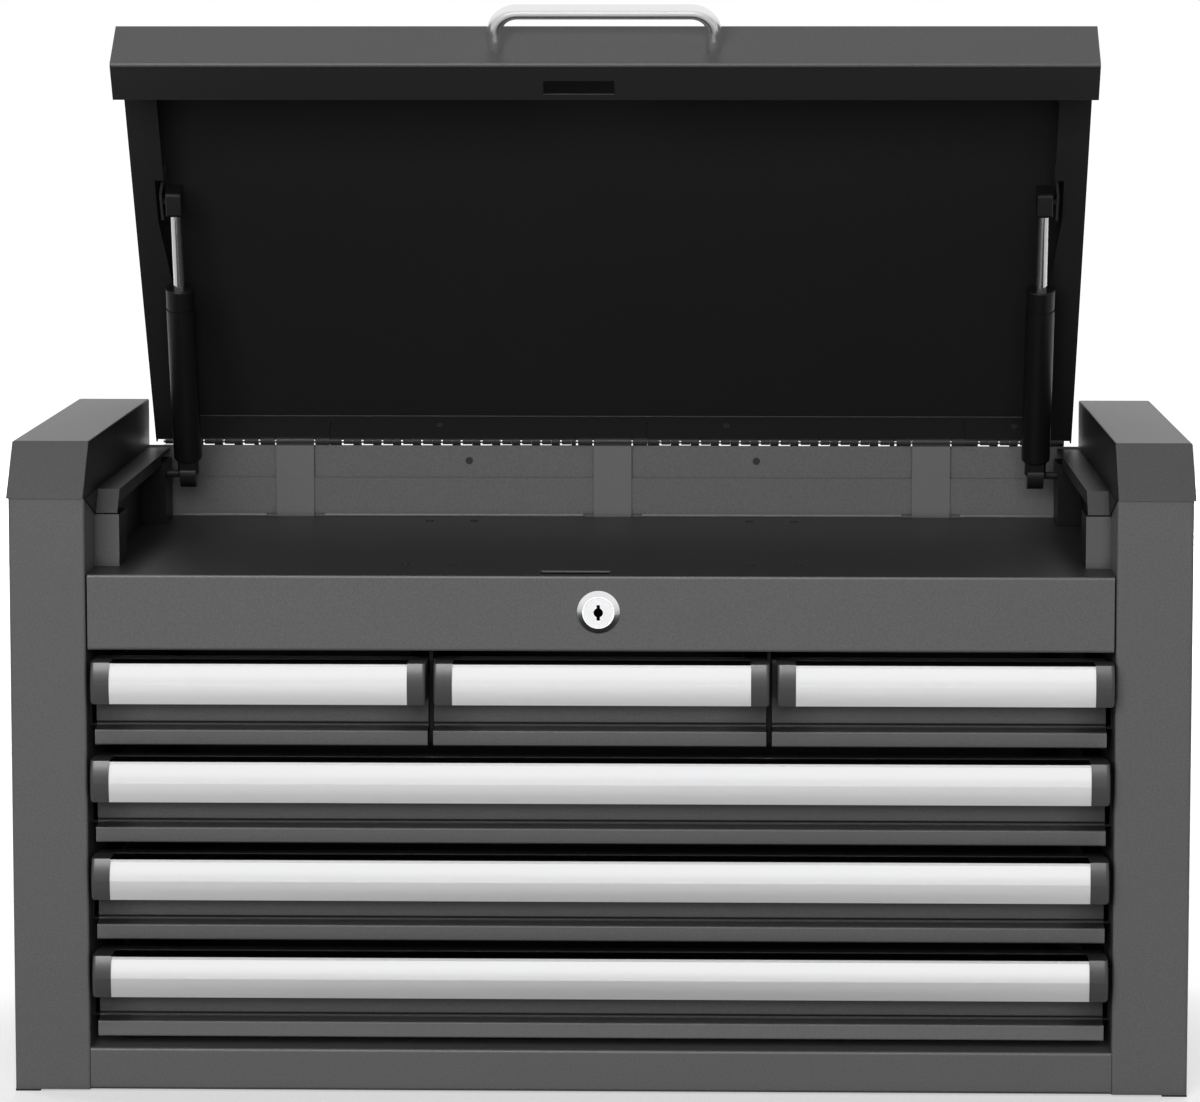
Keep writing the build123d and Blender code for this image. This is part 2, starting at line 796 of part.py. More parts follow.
# Gas struts, drawn along the line between their two pivots with the lid open
lower_end = chest.from_local_coords((0, lower_pivot_back, lower_pivot_height))
upper_end = open_lid.from_local_coords((0, upper_pivot_back, upper_pivot_height))
strut_line = upper_end - lower_end
strut_length = strut_line.length
shut_upper_end = chest.from_local_coords((0, upper_pivot_back, upper_pivot_height))
shut_line = shut_upper_end - lower_end
strut_turn = atan2(strut_line.Z, -strut_line.Y) - atan2(shut_line.Z, -shut_line.Y)
strut_stroke = strut_length - shut_line.length
print(f"origin is {-front_y:.3f} mm behind the post fronts")
print(f"hinge pin at y {pin_in_chest.Y:.3f}, z {pin_in_chest.Z:.3f}")
print(f"strut foot at y {lower_end.Y:.3f}, z {lower_end.Z:.3f}; axis {strut_line.normalized()}")
print(f"strut length open {strut_length:.2f}, stroke {strut_stroke:.3f}, turn {degrees(strut_turn):.3f} deg")
print(f"ratios: turn {strut_turn / open_turn:.5f}, stroke {strut_stroke / open_turn / 1000:.6f} m/rad")

strut_frame = Plane(
    origin=lower_end + Vector(strut_x, 0, 0),
    x_dir=(1, 0, 0),
    z_dir=strut_line.normalized(),
)

# Tube with a rounded bottom, and a neck rolled in above a narrow groove to guide the rod
tube_outline = [
    (0, tube_shoulder),
    (tube_radius, tube_shoulder),
    (tube_radius, tube_end),
    (tube_radius - groove_depth, tube_end),
    (tube_radius - groove_depth, tube_end + groove_length),
    (neck_radius, tube_end + groove_length),
    (neck_radius, neck_end),
    (rod_radius + fit_gap, neck_end),
    (rod_radius + fit_gap, tube_end - guide_depth),
    (tube_bore_radius, tube_end - guide_depth),
    (tube_bore_radius, tube_floor),
    (0, tube_floor),
]
half_section = Plane(strut_frame.origin, x_dir=strut_frame.x_dir, z_dir=-strut_frame.y_dir)
with BuildPart() as strut_tube_right:
    with BuildSketch(half_section) as tube_section:
        with BuildLine():
            Polyline(*tube_outline, close=True)
        make_face()
        fillet(tube_section.vertices().sort_by_distance((tube_radius, tube_shoulder))[0], tube_round)
        fillet(tube_section.vertices().sort_by_distance((neck_radius, neck_end))[0], neck_round)
    revolve(axis=Axis(strut_frame.origin, strut_frame.z_dir))

save(strut_tube_right.part, "strut_tube_right")
save(mirrored(strut_tube_right.part, "strut_tube_left"), "strut_tube_left")

# Foot of the strut: a block that turns on the stud of the strut box, with a round neck under the tube
with BuildPart() as strut_foot_right:
    across_strut = Plane(strut_frame.origin, x_dir=strut_frame.z_dir, z_dir=strut_frame.x_dir)
    with BuildSketch(across_strut.offset(-foot_eye_width / 2)):
        Circle(foot_eye_radius)
        with Locations((tube_shoulder / 2, 0)):
            Rectangle(tube_shoulder, foot_neck_width)
    extrude(amount=foot_eye_width)
    neck_start = strut_frame.offset(tube_shoulder - foot_neck_length)
    add(disc(neck_start, foot_neck_width / 2, foot_neck_length))
    hole_end = side_view(chest, stud_inner_x - stud_end_gap)
    add(disc(hole_end, stud_radius + fit_gap, foot_neck_width, lower_pivot), mode=Mode.SUBTRACT)

save(strut_foot_right.part, "strut_foot_right")
save(mirrored(strut_foot_right.part, "strut_foot_left"), "strut_foot_left")

# Rod with its piston, which slides in the tube
rod_end = strut_length - fork_length[0]
piston_start = tube_end - guide_depth - piston_length - piston_clearance
with BuildPart() as strut_rod_right:
    add(disc(strut_frame.offset(piston_start), rod_radius, rod_end - piston_start))
    add(disc(strut_frame.offset(piston_start), piston_radius, piston_length))

save(strut_rod_right.part, "strut_rod_right")
save(mirrored(strut_rod_right.part, "strut_rod_left"), "strut_rod_left")

# End block on the rod, beside the stud of the lid bracket
with BuildPart() as strut_fork_right:
    with BuildSketch(across_strut.offset(fork_x[0] - strut_x)):
        with Locations((strut_length - fork_length[0] / 2 + fork_length[1] / 2, 0)):
            RectangleRounded(sum(fork_length), 2 * fork_half_depth, fork_round)
    extrude(amount=fork_x[1] - fork_x[0])
    fillet(strut_fork_right.faces().filter_by(Axis.X).edges(), radius=fork_side_round)

save(strut_fork_right.part, "strut_fork_right")
save(mirrored(strut_fork_right.part, "strut_fork_left"), "strut_fork_left")


# Lock barrel with its ring, held in the header
lock_centre = (lock_x, lock_height)
with BuildPart() as lock_barrel:
    ring_length = header_back - lock_ring_front
    barrel_length = lock_barrel_back - header_back
    bore_length = lock_barrel_back - lock_face_back
    add(disc(front_view(chest, header_back), lock_ring_radius, ring_length, lock_centre))
    front_edge = lock_barrel.edges().filter_by(GeomType.CIRCLE).sort_by(Axis.Y)[0]
    front_face = lock_barrel.faces().sort_by(Axis.Y)[0]
    slope_length = ring_length - lock_ring_edge
    chamfer(front_edge, length=lock_ring_slope, length2=slope_length, reference=front_face)
    add(disc(front_view(chest, lock_barrel_back), lock_barrel_radius, barrel_length, lock_centre))
    seat_length = lock_face_back - lock_ring_front
    seat = disc(front_view(chest, lock_face_back), lock_face_radius, seat_length, lock_centre)
    bore = disc(front_view(chest, lock_barrel_back), plug_radius + fit_gap, bore_length, lock_centre)
    add(seat, mode=Mode.SUBTRACT)
    add(bore, mode=Mode.SUBTRACT)

save(lock_barrel.part, "lock_barrel")

# Plug, which the key turns, with a thin tail for the hook
with BuildPart() as lock_plug:
    face_back = lock_face_back - fit_gap
    plug_end = lock_barrel_back + fit_gap
    add(disc(front_view(chest, face_back), plug_face_radius, face_back - plug_front, lock_centre))
    add(disc(front_view(chest, plug_end), plug_radius, plug_end - face_back, lock_centre))
    add(disc(front_view(chest, plug_tail_back), plug_tail_radius, plug_tail_back - plug_end, lock_centre))
    with BuildSketch(front_view(chest, plug_front)):
        with Locations(lock_centre):
            Circle(keyhole_radius)
            Rectangle(keyhole_width, keyhole_length)
    extrude(amount=-keyhole_depth, mode=Mode.SUBTRACT)

save(lock_plug.part, "lock_plug")

# Hook on the plug: it points left when unlocked, and swings up through both slots to hold the lid
with BuildPart() as lock_hook:
    with BuildSketch(front_view(chest, hook_back[1])):
        with Locations(lock_centre):
            Circle(hook_boss_radius)
        with Locations((lock_x - hook_reach / 2, lock_height)):
            Rectangle(hook_reach, 2 * hook_half_width)
        toe_x = lock_x - (hook_toe_start + hook_reach) / 2
        with Locations((toe_x, lock_height + hook_half_width + hook_toe_length / 2)):
            Rectangle(hook_reach - hook_toe_start, hook_toe_length)
        with Locations(lock_centre):
            Circle(plug_tail_radius, mode=Mode.SUBTRACT)
    extrude(amount=hook_back[1] - hook_back[0])

save(lock_hook.part, "lock_hook")


# Drawers: name, row, left and right edge of the front, walls that the runners hang on, pull shift
middle_edge = divider_x - front_middle_gap / 2
outer_edge = post_inner - front_side_gap
divider_faces = (divider_x - divider_thickness / 2, divider_x + divider_thickness / 2)
drawers = [
    ("top_left", 0, (-outer_edge, -divider_x - front_middle_gap / 2), (-post_inner, -divider_faces[1])),
    ("top_middle", 0, (-middle_edge, middle_edge), (-divider_faces[0], divider_faces[0])),
    ("top_right", 0, (divider_x + front_middle_gap / 2, outer_edge), (divider_faces[1], post_inner)),
]
for row, name in enumerate(("second_row", "third_row", "fourth_row"), start=1):
    drawers.append((name, row, (-outer_edge, outer_edge), (-post_inner, post_inner)))


def channel(wall, inward, bottom, height, depth, gap=0.0):
    """Runner channel on one wall, with its open side facing away from the web."""
    length = (channel_front, channel_front + channel_length)
    web_x = sorted((wall + inward * gap, wall + inward * (gap + channel_sheet)))
    flange_x = sorted((wall + inward * gap, wall + inward * (gap + depth)))
    with BuildPart() as rail:
        add(block(chest, web_x, length, (bottom, bottom + height)))
        add(block(chest, flange_x, length, (bottom, bottom + channel_sheet)))
        add(block(chest, flange_x, length, (bottom + height - channel_sheet, bottom + height)))
    return rail.part


def drawer_box(row, front_x, walls):
    """Stepped front and open-topped tub, welded into one piece."""
    base = first_row_bottom - row * row_pitch
    middle = sum(front_x) / 2
    front_outline = [
        (band_back + front_hem, base),
        (band_back, base),
        (band_back, base + band_height),
        (groove_back, base + groove_height),
        (flat_back, base + flat_bottom),
        (flat_back, base + front_height),
        (flat_back + front_hem, base + front_height),
    ]
    half_width = (front_x[1] - front_x[0]) / 2
    tub_x = (walls[0] + slide_width, walls[1] - slide_width)
    tub_front = flat_back + sheet
    with BuildPart() as box:
        add(block(chest, tub_x, (tub_front, tub_back), (base + tub_bottom, base + tub_top)))
        inside_x = (tub_x[0] + drawer_sheet, tub_x[1] - drawer_sheet)
        inside_back = (tub_front + drawer_sheet, tub_back - drawer_sheet)
        inside_height = (base + tub_bottom + drawer_sheet, base + tub_top)
        add(block(chest, inside_x, inside_back, inside_height), mode=Mode.SUBTRACT)
        add(folded_sheet(chest, front_outline, half_width, Side.RIGHT, small_bend, middle=middle))
    return box.part


def pull_front_curve(base, extra, nose_top):
    """Side-view line down the front of the pull, from its nose over the belly to its lower lip."""
    belly = (pull_belly_back - extra, base + pull_belly_height)
    TangentArc(belly, (pull_nose_back - extra, nose_top), tangent=(0, 1))
    TangentArc(belly, (pull_lip_back - extra, base + pull_bottom), tangent=(0, -1))


def drawer_pull(row, span):
    """Bright strip bent over the top of the drawer front, open below for the fingers."""
    base = first_row_bottom - row * row_pitch
    top = base + pull_top
    under = top - pull_thickness
    leg_bottom = base + pull_leg_bottom
    leg_front = flat_back - pull_thickness
    with BuildPart() as pull:
        with BuildSketch(side_view(chest, span[0])):
            with BuildLine():
                pull_front_curve(base, 0, under)
                pull_front_curve(base, -pull_thickness, under)
                lip_inside = pull_lip_back + pull_thickness
                Line((pull_lip_back, base + pull_bottom), (lip_inside, base + pull_bottom))
                Polyline(
                    (pull_nose_back, under),
                    (pull_nose_back, top),
                    (flat_back, top),
                    (flat_back, leg_bottom),
                    (leg_front, leg_bottom),
                    (leg_front, under),
                    (pull_nose_back + pull_thickness, under),
                )
            make_face()
        extrude(amount=span[1] - span[0])
    return pull.part


def pull_ends(row, span):
    """Two plugs that close the ends of the pull, rounded at their outer corners."""
    base = first_row_bottom - row * row_pitch
    bottom = base + pull_bottom
    top = base + pull_top + pull_end_extra
    with BuildPart() as ends:
        for inner, outward in ((span[0], -1), (span[1], 1)):
            with BuildSketch(side_view(chest, inner)):
                with BuildLine():
                    pull_front_curve(base, pull_end_extra, top)
                    Polyline(
                        (pull_nose_back - pull_end_extra, top),
                        (flat_back, top),
                        (flat_back, bottom),
                        (pull_lip_back - pull_end_extra, bottom),
                    )
                make_face()
            extrude(amount=outward * pull_end_length)
            outer_face = ends.faces().sort_by(Axis.X)[0 if outward < 0 else -1]
            fillet(outer_face.edges().sort_by(Axis.Y)[:-2], radius=pull_end_round)
    return ends.part


def moving_channels(row, walls):
    """Channels fixed to the sides of a drawer, which slide inside the fixed ones."""
    base = first_row_bottom - row * row_pitch
    bottom = base + channel_centre - moving_channel_height / 2
    depth = slide_width - moving_channel_gap
    with BuildPart() as rails:
        add(channel(walls[0] + slide_width, -1, bottom, moving_channel_height, depth))
        add(channel(walls[1] - slide_width, 1, bottom, moving_channel_height, depth))
    return rails.part


with BuildPart() as runner_channels:
    for name, row, front_x, walls in drawers:
        bottom = first_row_bottom - row * row_pitch + channel_centre - fixed_channel_height / 2
        add(channel(walls[0], 1, bottom, fixed_channel_height, fixed_channel_depth))
        add(channel(walls[1], -1, bottom, fixed_channel_height, fixed_channel_depth))

save(runner_channels.part, "runner_channels")

for number, (name, row, front_x, walls) in enumerate(drawers):
    if row == 0:
        length = top_row_pull_length
        middle = sum(front_x) / 2 + top_row_pull_shift[number]
    else:
        length = wide_pull_length
        middle = 0.0
    strip = (middle - length / 2 + pull_end_length, middle + length / 2 - pull_end_length)
    save(drawer_box(row, front_x, walls), f"drawer_{name}_box")
    save(drawer_pull(row, strip), f"drawer_{name}_pull")
    save(pull_ends(row, strip), f"drawer_{name}_pull_ends")
    save(moving_channels(row, walls), f"drawer_{name}_runners")
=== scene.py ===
# %% [markdown]
# # A top tool chest with its lid open
# The chest is folded sheet steel with a powder coat, bright aluminium pulls, two gas struts and a
# long hinge. Its shapes come ready made, in metres, so this lesson is about what they are made of:
# each finish is named for the real one, and is built from shader nodes. We start by loading the
# shapes and measuring the box that they fill.

# %% Load the chest
import json
import math

import bpy
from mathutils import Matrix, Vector


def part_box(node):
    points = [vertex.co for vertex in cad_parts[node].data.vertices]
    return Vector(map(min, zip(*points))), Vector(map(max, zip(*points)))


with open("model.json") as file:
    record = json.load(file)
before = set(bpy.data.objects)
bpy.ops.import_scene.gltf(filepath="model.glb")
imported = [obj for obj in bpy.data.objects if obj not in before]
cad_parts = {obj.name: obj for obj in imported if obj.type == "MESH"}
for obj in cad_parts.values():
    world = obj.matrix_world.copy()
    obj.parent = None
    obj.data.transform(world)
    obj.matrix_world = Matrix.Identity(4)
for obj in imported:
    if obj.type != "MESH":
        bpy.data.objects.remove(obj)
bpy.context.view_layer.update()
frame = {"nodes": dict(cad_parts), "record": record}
nodes = frame["nodes"]
print("pieces loaded:", len(nodes))

# %% [markdown]
# ## Colours and nodes
# A paint colour is easiest to read as the hex value that a picture program shows. Blender's
# shaders want linear light instead, so one function does that step for every colour. A second
# small function adds a node, sets its options and joins its inputs. The few kinds of node that
# come back in every material have a function each, so a material is down to the lines that make
# it different.

# %% Helpers for every material
MM = 0.001


def linear(hex_colour):
    channels = [int(hex_colour[i : i + 2], 16) / 255 for i in (1, 3, 5)]
    curve = [c / 12.92 if c <= 0.04045 else ((c + 0.055) / 1.055) ** 2.4 for c in channels]
    return (*curve, 1.0)


def add_node(tree, kind, inputs=None, **options):
    """Adds one node; an input is given as a value, or as the socket that it is joined to."""
    node = tree.nodes.new(kind)
    for name, value in options.items():
        setattr(node, name, value)
    for name, value in (inputs or {}).items():
        if isinstance(value, bpy.types.NodeSocket):
            tree.links.new(value, node.inputs[name])
        else:
            node.inputs[name].default_value = value
    return node


def noise(tree, place, scale, detail):
    """A noise between 0 and 1, with the given number of coarsest grains in a metre."""
    inputs = {"Vector": place, "Scale": scale, "Detail": detail}
    return add_node(tree, "ShaderNodeTexNoise", inputs).outputs["Fac"]


def spread(tree, value, low, high):
    """Maps a value between 0 and 1 to the range from low to high."""
    inputs = {"Value": value, "To Min": low, "To Max": high}
    return add_node(tree, "ShaderNodeMapRange", inputs).outputs[0]


def math_node(tree, operation, *values):
    inputs = dict(enumerate(values))
    return add_node(tree, "ShaderNodeMath", inputs, operation=operation).outputs[0]


def two_colours(tree, value, *ends):
    """Blends two colours. Each end is a value and the hex colour that belongs to it."""
    ramp = add_node(tree, "ShaderNodeValToRGB", {"Fac": value})
    for element, (position, hex_colour) in zip(ramp.color_ramp.elements, ends):
        element.position = position
        element.color = linear(hex_colour)
    return ramp.outputs["Color"]


def bump_normal(tree, height, distance, strength):
    inputs = {"Height": height, "Distance": distance, "Strength": strength}
    return add_node(tree, "ShaderNodeBump", inputs).outputs["Normal"]


def new_material(name):
    material = bpy.data.materials.new(name)
    material.use_nodes = True
    tree = material.node_tree
    tree.nodes.clear()
    shader = add_node(tree, "ShaderNodeBsdfPrincipled")
    add_node(tree, "ShaderNodeOutputMaterial", {"Surface": shader.outputs[0]})
    place = add_node(tree, "ShaderNodeTexCoord").outputs["Object"]
    return material, tree, shader, place


# %% [markdown]
# ## Powder coat
# The body is mild steel with a dark grey powder coat: dry paint, sprayed on and melted in an oven.
# It flows into a skin like fine orange peel, so its gloss breaks up into tiny grains. Two noises
# do this: one as coarse as the peel bends the light, and one as fine as the powder darkens and
# lightens the colour. The real powder is finer than a pixel, so it is drawn 0.9 mm wide. An
# ambient occlusion node finds seams and inner corners, and the colour goes down there: this is
# painted shade. Some pieces carry two tones: a mask, made from the place and the direction of the
# surface, says where the second one goes, and on most of them the second tone is painted shade.

# %% Powder-coated steel
PEEL = 1.6 * MM
PEEL_HEIGHT = 0.012 * MM
POWDER = 0.9 * MM
CLOUDS_PER_METRE = 9.0
THIN, THICK = 0.44, 0.6
DARK_AT, LIGHT_AT = 0.12, 0.4
SEAM = 7 * MM
DRAWER_SHADE_REACH = 24 * MM
SEAM_RAYS = 4


def seam_shade(tree, strength, reach, openness):
    """1 on faces that are open by more than the second number, less in corners and seams."""
    seams = add_node(tree, "ShaderNodeAmbientOcclusion", {"Distance": reach}, samples=SEAM_RAYS)
    closed, opened = openness
    inputs = {
        "Value": seams.outputs["AO"],
        "From Min": closed,
        "From Max": opened,
        "To Min": 1 - strength,
    }
    return add_node(tree, "ShaderNodeMapRange", inputs).outputs[0]


def powder_colour(tree, place, light, dark):
    """The colour of the coat, and the fine noise that its gloss follows as well."""
    powder = noise(tree, place, 1 / POWDER, 3.0)
    cloud = noise(tree, place, CLOUDS_PER_METRE, 2.0)
    grains = math_node(tree, "MULTIPLY", powder, spread(tree, cloud, THIN, THICK))
    return two_colours(tree, grains, (DARK_AT, dark), (LIGHT_AT, light)), powder


def powder_coat(
    name,
    light,
    dark,
    roughness=0.4,
    specular=0.3,
    inner=None,
    painted_shade=0.6,
    reach=SEAM,
    openness=(0.25, 0.8),
):
    """inner has the two colours of the second tone, mostly painted shade, and the mask that is 1
    outside it.
    """
    material, tree, shader, place = new_material(name)
    colour, powder = powder_colour(tree, place, light, dark)
    if inner:
        inner_light, inner_dark, mask = inner
        second, powder = powder_colour(tree, place, inner_light, inner_dark)
        inputs = {"Fac": mask(tree, place), "Color1": second, "Color2": colour}
        colour = add_node(tree, "ShaderNodeMixRGB", inputs).outputs[0]
    # The colour is scaled down where the ambient occlusion is low: painted shade in seams and
    # corners.
    inputs = {0: colour, "Scale": seam_shade(tree, painted_shade, reach, openness)}
    shaded = add_node(tree, "ShaderNodeVectorMath", inputs, operation="SCALE").outputs[0]
    gloss = spread(tree, powder, roughness - 0.08, roughness + 0.1)
    bump = bump_normal(tree, noise(tree, place, 1 / PEEL, 2.0), PEEL_HEIGHT, 0.6)
    tree.links.new(shaded, shader.inputs["Base Color"])
    tree.links.new(gloss, shader.inputs["Roughness"])
    tree.links.new(bump, shader.inputs["Normal"])
    shader.inputs["Specular IOR Level"].default_value = specular
    print(name, light, dark)
    return material


coat = powder_coat("powder_coated_steel", "#626262", "#535353")
# The drawers reach further and darken more: painted shadow of the pulls on the flats below them.
drawer_coat = powder_coat(
    "powder_coated_drawer",
    "#6a6a6a",
    "#5c5c5c",
    painted_shade=0.9,
    reach=DRAWER_SHADE_REACH,
    openness=(0.55, 1.0),
)
black_coat = powder_coat("black_coated_steel", "#343434", "#272727", 0.45, 0.2)
# Also put on the drawer dividers and strut studs, where the black is painted shade in dark gaps.
dark_coat_and_shade = powder_coat("black_phosphated_steel_and_gap_shade", "#222222", "#181818", 0.55, 0.15)

# %% [markdown]
# ## Painted shade on the tray, the rails, the trims and the caps; black strap curls
# The tray's floor looks up, and a darker tone is painted there as shade. The rails beside it and
# the side trims are grey only in front, with painted shade on their other faces. The caps carry
# painted
# shade too: their grey is darker than the body's, and the side that looks at the tray is nearly
# black. The straps are black where they curl round the hinge pin. Each mask is a soft step: 0 below
# one value of a coordinate or a direction, 1 above another.

# %% Masks for painted shade and two tones
PIN_TO_BLACK = (2.4 * MM, 2.8 * MM)
TRIM_SHEET = (0.8 * MM, 1.5 * MM)
RIGHT, BACK, UP = (1, 0, 0), (0, 1, 0), (0, 0, 1)
lowest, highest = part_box("hinge_pin")
pin_height = (lowest.z + highest.z) / 2
trim_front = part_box("tray_side_trim_left")[0].y


def step(tree, value, start, end):
    inputs = {"Value": value, "From Min": start, "From Max": end}
    return add_node(tree, "ShaderNodeMapRange", inputs).outputs[0]


def along(tree, vector, direction):
    """How far the vector points along a direction."""
    inputs = {0: vector, 1: direction}
    return add_node(tree, "ShaderNodeVectorMath", inputs, operation="DOT_PRODUCT").outputs["Value"]


def vector_node(tree, operation, *vectors):
    inputs = dict(enumerate(vectors))
    return add_node(tree, "ShaderNodeVectorMath", inputs, operation=operation).outputs[0]


def facing(tree):
    return add_node(tree, "ShaderNodeTexCoord").outputs["Normal"]


def not_upward(tree, place):
    return step(tree, along(tree, facing(tree), UP), 0.97, 0.8)


def forward(tree, place):
    return step(tree, along(tree, facing(tree), BACK), -0.2, -0.4)


def not_inward(tree, place):
    """0 where the face looks at the middle plane of the chest, which is at x = 0."""
    away = math_node(tree, "MULTIPLY", along(tree, facing(tree), RIGHT), along(tree, place, RIGHT))
    return step(tree, away, -0.2, -0.08)


def front_face(tree, place):
    near, far = TRIM_SHEET
    return step(tree, along(tree, place, BACK), trim_front + far, trim_front + near)


def below_pin(tree, place):
    near, far = PIN_TO_BLACK
    return step(tree, along(tree, place, UP), pin_height - near, pin_height - far)


# The floor's darker tone is painted shade, on the faces that look up.
tray_coat = powder_coat(
    "powder_coated_tray", "#626262", "#535353", inner=("#303030", "#272727", not_upward)
)
# Painted shade: every face of the rails but the front ones is nearly black.
rail_coat = powder_coat(
    "powder_coated_rail", "#4e4e4e", "#424242", 0.4, 0.12, inner=("#1f1f1f", "#181818", forward)
)
# Painted shade: the trims are nearly black behind their front face.
trim_coat = powder_coat(
    "powder_coated_trim", "#606060", "#525252", 0.4, 0.12, inner=("#181818", "#121212", front_face)
)
# Painted shade: the caps' grey is darker than the body's, and their faces towards the tray are
# nearly black.
cap_coat = powder_coat(
    "powder_coated_cap", "#525252", "#454545", 0.38, 0.2, inner=("#1a1a1a", "#141414", not_inward)
)
strap_coat = powder_coat(
    "powder_coated_strap", "#686868", "#5a5a5a", inner=("#343434", "#272727", below_pin)
)

# %% [markdown]
# ## Painted shade inside the lid
# The lid is grey outside and nearly black inside, and that dark tone is painted shade. The mask
# needs
# no painting by hand: on the outside of a box, the surface looks away from the middle of the box,
# and on the inside it looks towards it. The lip that is folded under the front looks straight down
# when the lid is shut, and it gets the painted shade as well, but its bend is still grey.

# %% Coat of the lid, with painted shade inside
OPEN_ANGLE = math.radians(55.8)
LID_SHEET = 2 * MM
lid_low, lid_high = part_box("lid_panel")
lid_middle = (lid_low + lid_high) / 2
print("middle of the lid", [round(v, 4) for v in lid_middle])
lid_up = Vector((0, math.sin(OPEN_ANGLE), math.cos(OPEN_ANGLE)))


def lid_outside(tree, place):
    from_middle = vector_node(tree, "SUBTRACT", place, lid_middle)
    is_out = step(tree, along(tree, facing(tree), from_middle), 0.0, LID_SHEET)
    not_lip = step(tree, along(tree, facing(tree), lid_up), -0.998, -0.96)
    return math_node(tree, "MULTIPLY", is_out, not_lip)


# The inner tone is painted shade, on the inside faces and the lip.
lid_coat = powder_coat(
    "powder_coated_lid",
    "#525252",
    "#444444",
    inner=("#222222", "#191919", lid_outside),
    painted_shade=0.4,
)

# %% [markdown]
# ## Metals without paint
# The pulls are extruded aluminium, satin anodised: the die leaves very fine lines along the
# length, and the etch before the anodising makes them soft and almost white. The handle is a
# steel rod, polished and satin plated. The lock has bright chrome, and the strut rods have hard
# chrome. They are all one recipe: a metal, whose roughness changes along a stretched noise.
# A mask can paint a part of it dark, as painted shade. The pulls are dark behind their nose,
# where the gap above them is in shade, and the walls of the keyhole are painted black as shade.

# %% Bare metals
COARSEST_LINE = 2 * MM
LINE_HEIGHT = 0.01 * MM
NOSE = (4.2 * MM, 5.0 * MM)
KEYHOLE_REACH = (5.2 * MM, 5.4 * MM)
SKIN = (0.1 * MM, 0.4 * MM)
EVENLY, LENGTHWISE, UPRIGHT = (1, 1, 1), (0.02, 1, 1), (1, 1, 0.05)


def bare_metal(name, colour, roughness, uneven, stretch=EVENLY, line_height=0.0, shaded_part=None):
    """dull has the colour of the painted shade, and the mask that is 1 inside it."""
    material, tree, shader, place = new_material(name)
    scaled = add_node(tree, "ShaderNodeMapping", {"Vector": place, "Scale": stretch})
    lines = noise(tree, scaled.outputs[0], 1 / COARSEST_LINE, 4.0)
    rough = spread(tree, lines, roughness - uneven, roughness + uneven)
    shader.inputs["Base Color"].default_value = linear(colour)
    shader.inputs["Metallic"].default_value = 1.0
    if shaded_part:
        shade_colour, mask = shaded_part
        inputs = {"Fac": mask(tree, place), "Color1": linear(colour), "Color2": linear(shade_colour)}
        both = add_node(tree, "ShaderNodeMixRGB", inputs)
        tree.links.new(both.outputs[0], shader.inputs["Base Color"])
    tree.links.new(rough, shader.inputs["Roughness"])
    if line_height:
        bump = bump_normal(tree, lines, line_height, 0.3)
        tree.links.new(bump, shader.inputs["Normal"])
    return material


pull_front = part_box("drawer_second_row_pull")[0].y
plug_low, plug_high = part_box("lock_plug")
plug_middle = (plug_low + plug_high) / 2


def behind_nose(tree, place):
    near, far = NOSE
    return step(tree, along(tree, place, BACK), pull_front + near, pull_front + far)


def keyhole(tree, place):
    """1 behind the front skin of the plug and near its axis, where only the keyhole has faces."""
    from_middle = vector_node(tree, "SUBTRACT", place, plug_middle)
    flat = vector_node(tree, "MULTIPLY", from_middle, (1, 0, 1))
    radius = add_node(tree, "ShaderNodeVectorMath", {0: flat}, operation="LENGTH").outputs["Value"]
    inner, outer = KEYHOLE_REACH
    near = step(tree, radius, outer, inner)
    shallow, deep = SKIN
    inside = step(tree, along(tree, place, BACK), plug_low.y + shallow, plug_low.y + deep)
    return math_node(tree, "MULTIPLY", near, inside)


# Painted shade: the pulls are dark behind their nose, where they sit in the gap.
anodised = bare_metal(
    "anodised_aluminium", "#f4f4f5", 0.34, 0.05, LENGTHWISE, LINE_HEIGHT, ("#3c3c3c", behind_nose)
)
satin_steel = bare_metal("satin_plated_steel", "#ececed", 0.2, 0.05)
chrome = bare_metal("bright_chrome", "#e6e6e8", 0.14, 0.04)
# Painted shade: the walls of the keyhole are nearly black.
plug_chrome = bare_metal("bright_chrome_plug", "#efeff0", 0.25, 0.04, shaded_part=("#050505", keyhole))
hard_chrome = bare_metal("hard_chrome", "#dcdcde", 0.12, 0.03, UPRIGHT)
zinc = bare_metal("zinc_plated_steel", "#b9bcc0", 0.38, 0.08)

# %% [markdown]
# ## Moulded and rubber parts
# The ends of the pulls are moulded ABS with a satin gloss. The struts' end fittings are black
# nylon, and the tube has a smooth black stove enamel. The pads are plain rubber.

# %% Plastics, enamel and rubber
GRAIN = 0.6 * MM
GRAIN_HEIGHT = 0.006 * MM
ENAMEL_HEIGHT = 0.002 * MM


def moulded(name, light, dark, roughness, grain_height=GRAIN_HEIGHT, specular=0.5):
    material, tree, shader, place = new_material(name)
    grain = noise(tree, place, 1 / GRAIN, 3.0)
    tint = two_colours(tree, grain, (0.3, dark), (0.7, light))
    gloss = spread(tree, grain, roughness - 0.05, roughness + 0.05)
    bump = bump_normal(tree, grain, grain_height, 0.5)
    tree.links.new(tint, shader.inputs["Base Color"])
    tree.links.new(gloss, shader.inputs["Roughness"])
    tree.links.new(bump, shader.inputs["Normal"])
    shader.inputs["Specular IOR Level"].default_value = specular
    return material


abs_plastic = moulded("moulded_abs", "#2a2a2a", "#202020", 0.42, specular=0.8)
nylon = moulded("black_nylon", "#181818", "#101010", 0.35, specular=0.3)
enamel = moulded("black_stove_enamel", "#131313", "#0f0f0f", 0.35, ENAMEL_HEIGHT, specular=0.2)
rubber = moulded("black_rubber", "#161616", "#0c0c0c", 0.8)

